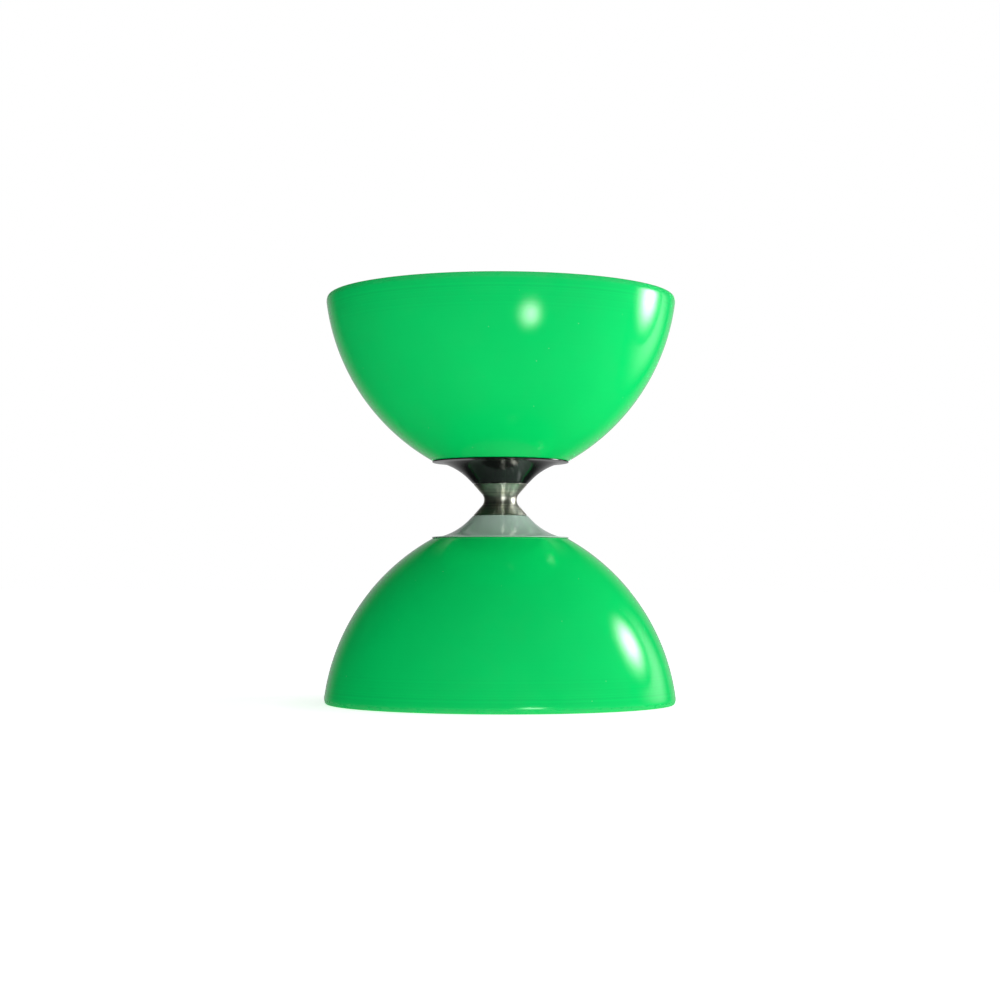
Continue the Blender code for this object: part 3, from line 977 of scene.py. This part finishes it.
@dataclass(frozen=True)
class Bearing:
    """One deep-groove ball bearing in the roller: rings, shields, balls and the cage that leads them."""

    name: str
    steel: Material
    nylon: Material
    balls: int = 7
    ball_radius: float = 0.6 * MM
    bore: float = 3.0 * MM
    inner_land: float = 3.6 * MM
    inner_race: float = 3.3 * MM
    outer_land: float = 4.4 * MM
    outer_race: float = 4.75 * MM
    outside: float = 5.0 * MM
    race_half: float = 0.57 * MM
    race_reach: float = 0.94
    seat_radius: float = 4.7 * MM
    seat: float = 1.15 * MM
    shield_bore: float = 3.75 * MM
    shield_edge: float = 0.05 * MM
    half_width: float = 1.5 * MM
    edge: float = 0.12 * MM
    sides: int = 96

    @property
    def height(self) -> float:
        """Height of its middle above the waist."""
        low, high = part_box(f"{self.name}_bearing_inner_ring")
        return (low[2] + high[2]) / 2 - WAIST

    def race(self, radius: float, land: float) -> list[Corner]:
        """The ball track's section, from the lower land's edge to the upper.

        Args:
            radius: Radius of the bottom of the track.
            land: Radius of the land beside it.

        Returns:
            Corners with no rounding.
        """
        steps = 10
        edge = math.sqrt(1 - self.race_reach**2)
        points = []
        for i in range(steps + 1):
            along = -1 + 2 * i / steps
            share = (math.sqrt(1 - (self.race_reach * along) ** 2) - edge) / (1 - edge)
            points.append((land + (radius - land) * share, self.race_half * along, 0.0))
        return points

    def ring(self, part: str, corners: Sequence[Corner], body: str) -> None:
        """Makes one of the bearing's rings from its section.

        Args:
            part: The node's name after the bearing's.
            corners: Radius, height and rounding of each corner, in order.
            body: The body that it rides on.
        """
        node = f"{self.name}_bearing_{part}"
        role = Role(f"{node}_fine", node, "bearing_steel", body, height=self.height)
        role.fill(turned(rounded(corners, closed=True, steps=4), self.sides), self.steel)

    def inner_ring(self) -> None:
        """The ring that the rod carries, with its ball track outside."""
        land, half, edge = self.inner_land, self.half_width, self.edge
        corners = [
            (self.bore, half, edge), (self.bore, -half, edge), (land, -half, edge),
            *self.race(self.inner_race, land), (land, half, edge),
        ]
        self.ring("inner_ring", corners, TURNED_BODY)

    def outer_ring(self) -> None:
        """The ring that the roller carries, with its ball track and shield seats inside."""
        land, half, edge, seat = self.outer_land, self.half_width, self.edge, self.seat
        corners = [
            (self.outside, -half, edge), (self.outside, half, edge), (self.seat_radius, half, edge / 2),
            (self.seat_radius, seat, 0), (land, seat, 0), *reversed(self.race(self.outer_race, land)),
            (land, -seat, 0), (self.seat_radius, -seat, 0), (self.seat_radius, -half, edge / 2),
        ]
        self.ring("outer_ring", corners, ROLLER_BODY)

    def shields(self) -> None:
        """The two pressed shields, in the outer ring's seats."""
        for part in ("bottom_shield", "top_shield"):
            low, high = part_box(f"{self.name}_bearing_{part}")
            near, far = (z - WAIST - self.height for z in (low[2], high[2]))
            section = Span(high[0], near, far).ring(self.shield_bore, [self.shield_edge] * 4)
            self.ring(part, section, ROLLER_BODY)

    def ball_set(self) -> None:
        """The balls, each a fine sphere in its node's place."""
        for number in range(1, self.balls + 1):
            node = f"{self.name}_bearing_ball_{number}"
            low, high = (Vector(p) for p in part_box(node))
            shape = bmesh.new()
            bmesh.ops.create_icosphere(shape, subdivisions=4, radius=self.ball_radius)
            middle = (low + high) / 2 - Vector((0, 0, WAIST))
            bmesh.ops.translate(shape, verts=shape.verts, vec=middle)
            role = Role(f"{node}_round", node, "bearing_steel", f"{self.name}_cage")
            role.fill(shape, self.steel)

    def build(self) -> None:
        """Makes the bearing, and gives its cage a finish."""
        self.inner_ring()
        self.outer_ring()
        self.shields()
        self.ball_set()
        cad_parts[f"{self.name}_bearing_cage"].material_slots[0].material = self.nylon


# ---- studio ----


def facing(place: Place, aim: Place) -> Matrix:
    """Where a light stands so that its -Z side faces a point."""
    turn = (Vector(aim) - Vector(place)).to_track_quat("-Z", "Y").to_matrix().to_4x4()
    return Matrix.Translation(place) @ turn


@dataclass(frozen=True)
class SoftLight:
    """A square light that shapes the object but isn't reflected in it."""

    name: str
    place: Place
    aim: Place
    size: float
    watts: float
    spread: float = 180.0

    def build(self) -> None:
        """Puts the light in the scene."""
        data = bpy.data.lights.new(self.name, "AREA")
        data.shape = "SQUARE"
        data.size = self.size
        data.energy = self.watts
        data.spread = math.radians(self.spread)
        made = in_scene(self.name, data)
        made.matrix_world = facing(self.place, self.aim)
        made.visible_camera = made.visible_glossy = False


@dataclass(frozen=True)
class Softbox:
    """A round panel that is only seen as a highlight, bright in the middle and fading to its edge."""

    name: str
    place: Place
    aim: Place
    core: float
    edge: float
    radiance: float

    def build(self) -> None:
        """Puts the panel in the scene."""
        shape = bmesh.new()
        bmesh.ops.create_circle(shape, cap_ends=True, segments=48, radius=self.edge)
        recipe = Recipe(self.name)
        fade = recipe.ramp(recipe.length(recipe.place), self.edge, self.core)
        glow = recipe.product(recipe.math("POWER", fade, 2.0), self.radiance)
        recipe.set(Base_Color=(0, 0, 0, 1), Specular_IOR_Level=0.0)
        recipe.set(Emission_Color=(1, 1, 1, 1), Emission_Strength=glow)
        recipe.material.cycles.emission_sampling = "NONE"
        made = in_scene(self.name, finished(shape, self.name, recipe.material))
        made.matrix_world = facing(self.place, self.aim)
        made.visible_camera = made.visible_diffuse = made.visible_shadow = False


@dataclass(frozen=True)
class Studio:
    """A pale floor, a white surround, soft lights with their highlights, and the camera."""

    floor_size: float = 30.0
    floor_drop: float = 0.2 * MM
    floor_glow: float = 0.72
    floor_shade: float = 0.40
    floor_given: Point = (0.36, 0.82)
    diffuse_level: float = 0.55
    diffuse_slope: Place = (0.52, -0.57, -0.31)
    mirrored_level: float = 0.015
    key_place: Place = (0.282, 0.059, 0.137)
    camera_place: Place = (-0.00014, -0.7086, 0.0424)
    camera_rise: float = 2.733
    camera_roll: float = 0.126
    lens: float = 70.12
    sensor: float = 36.0
    middle: Place = (0.0, 0.0, 0.09)

    def lights(self) -> list[SoftLight | Softbox]:
        """A light on the right and one into the upper cup, and the highlights on cups, hubs and roller."""
        return [
            SoftLight("key_light", self.key_place, self.middle, 90 * MM, 0.30),
            SoftLight("cup_light", (0.0, 0.0, 0.62), (0.0, 0.0, 0.12), 40 * MM, 0.012, spread=16.0),
        ] + [
            Softbox(f"{name}_softbox", place, self.middle, core * MM, edge * MM, radiance)
            for name, place, core, edge, radiance in (
                ("key", self.key_place, 6, 92, 24.0),
                ("side", (0.36, 0.17, 0.10), 50, 200, 1.7),
                ("front", (0.137, -0.40, -0.03), 2, 94, 29.0),
                ("cup", (0.0, 0.0, 0.42), 30, 60, 2.5),
                ("back", (0.0, 0.55, 0.75), 120, 480, 1.6),
            )
        ]

    def floor(self) -> None:
        """The floor that the lower rim stands on, bright enough to run into the surround."""
        shape = bmesh.new()
        bmesh.ops.create_grid(shape, x_segments=1, y_segments=1, size=self.floor_size / 2)
        bmesh.ops.translate(shape, verts=shape.verts, vec=(0, 0, -self.floor_drop))
        recipe = Recipe("pale_floor")
        recipe.set(Base_Color=(0.9, 0.9, 0.9, 1), Roughness=0.9, Specular_IOR_Level=0.0)
        across = recipe.node("ShaderNodeSeparateXYZ", {0: recipe.place}).outputs["X"]
        given = recipe.ramp(across, -self.floor_shade, self.floor_shade, self.floor_given)
        glow = recipe.choose("Is Camera Ray", given, self.floor_glow)
        recipe.set(Emission_Color=(1, 1, 1, 1), Emission_Strength=glow)
        made = in_scene("studio_floor", finished(shape, "studio_floor", recipe.material))
        made.visible_glossy = False

    def world(self) -> None:
        """A surround that looks white, with its own levels for the light it gives and for its reflection."""
        world = bpy.data.worlds.new("studio_surround")
        bpy.context.scene.world = world
        world.use_nodes = True
        sky = Graph(world.node_tree)
        sky.tree.nodes.clear()
        direction = sky.node("ShaderNodeTexCoord").outputs["Generated"]

        def along(vector: Place) -> Socket:
            """The direction's component along a vector."""
            inputs = {0: direction, 1: vector}
            return sky.node("ShaderNodeVectorMath", inputs, operation="DOT_PRODUCT").outputs["Value"]

        right, back = along((1, 0, 0)), along((0, 1, 0))
        fill = sky.ramp(back, 0.3, 1.0, (0.0, 0.55))
        given = sky.total(along(self.diffuse_slope), fill, self.diffuse_level)
        behind, beside = sky.ramp(back, 0.72, 1.0, (0.0, 0.42)), sky.ramp(right, 0.5, 1.0, (0.0, 0.12))
        mirrored = sky.total(behind, beside, self.mirrored_level)
        level = sky.choose("Is Camera Ray", sky.choose("Is Glossy Ray", given, mirrored), 1.0)
        surround = sky.node("ShaderNodeBackground", {"Color": (1, 1, 1, 1), "Strength": level})
        sky.node("ShaderNodeOutputWorld", {"Surface": surround.outputs["Background"]})

    def camera(self) -> None:
        """The camera, level with the lower cup's wall and tilted up a little."""
        scene = bpy.context.scene
        data = bpy.data.cameras.new("studio_camera")
        data.lens = self.lens
        data.sensor_width = self.sensor
        made = in_scene("studio_camera", data)
        tilt = Matrix.Rotation(math.radians(90 + self.camera_rise), 4, "X")
        roll = Matrix.Rotation(math.radians(self.camera_roll), 4, "Z")
        made.matrix_world = Matrix.Translation(self.camera_place) @ tilt @ roll
        scene.camera = made
        scene.view_settings.view_transform = "Standard"
        scene.view_settings.look = "None"

    def build(self) -> None:
        """Sets everything up round the object."""
        self.floor()
        self.world()
        for light in self.lights():
            light.build()
        self.camera()


# ---- the diabolo ----


def main() -> None:
    """Builds and dresses every piece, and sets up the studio."""
    green = GlossyMoulding(
        "green_cup_moulding", (0.002, 0.69, 0.147), gloss=0.12, specular=0.28, rim_wear=True
    ).material()
    black = GlossyMoulding("black_hub_moulding", (0.006, 0.007, 0.007), gloss=0.10, specular=0.5).material()
    # The lower hub is white plastic; its grey-green colour holds painted shade and painted green bounce light
    # from the cups.
    white = GlossyMoulding("white_hub_painted_shade_moulding", (0.46, 0.60, 0.52), gloss=0.10, specular=0.5).material()
    steel = MachinedMetal(
        "turned_steel", (0.78, 0.80, 0.69), roughness=0.35, line_size=0.42 * MM, line_depth=0.0005 * MM,
        contrast=0.34, anisotropy=0.7, stain=(0.70, 0.64, 0.49),
    ).material()
    ground = MachinedMetal(
        "ground_steel", (0.60, 0.60, 0.61), roughness=0.16, lays=(Lay.ALONG_AXLE, Lay.ACROSS_FACE),
        line_size=0.05 * MM, line_depth=0.0006 * MM,
    ).material()
    spring = MachinedMetal(
        "blued_spring_steel", (0.13, 0.13, 0.15), roughness=0.32, lays=(Lay.ACROSS_FACE,),
        line_size=0.08 * MM, stain=(0.07, 0.06, 0.06),
    ).material()
    zinc = PlatedSteel("zinc_plate_bright", (0.70, 0.71, 0.73), roughness=0.24).material()
    faced = MachinedMetal(
        "faced_zinc_plate", (0.68, 0.69, 0.71), roughness=0.26, lays=(Lay.ACROSS_FACE,),
        line_size=0.22 * MM, line_depth=0.003 * MM, stain=(0.58, 0.56, 0.50),
    ).material()
    nylon = MatteNylon("cage_nylon_moulded", (0.72, 0.66, 0.52)).material()
    blue = MatteNylon("insert_nylon_blue", (0.03, 0.09, 0.42)).material()

    for side, finish, slot in ((Side.UPPER, black, "black_hub"), (Side.LOWER, white, "white_hub")):
        Cup(side, green, "green_cup").build()
        Hub(side, finish, slot).build()
        ClampStack(side, ground, faced, zinc, blue).build()
        SnapRing(side, spring, "spring_steel").build()
    AxleRod(zinc).build()
    Roller(steel).build()
    for name in ("lower", "middle", "upper"):
        Bearing(name, ground, nylon).build()
    Studio().build()


if __name__ == "__main__":
    main()
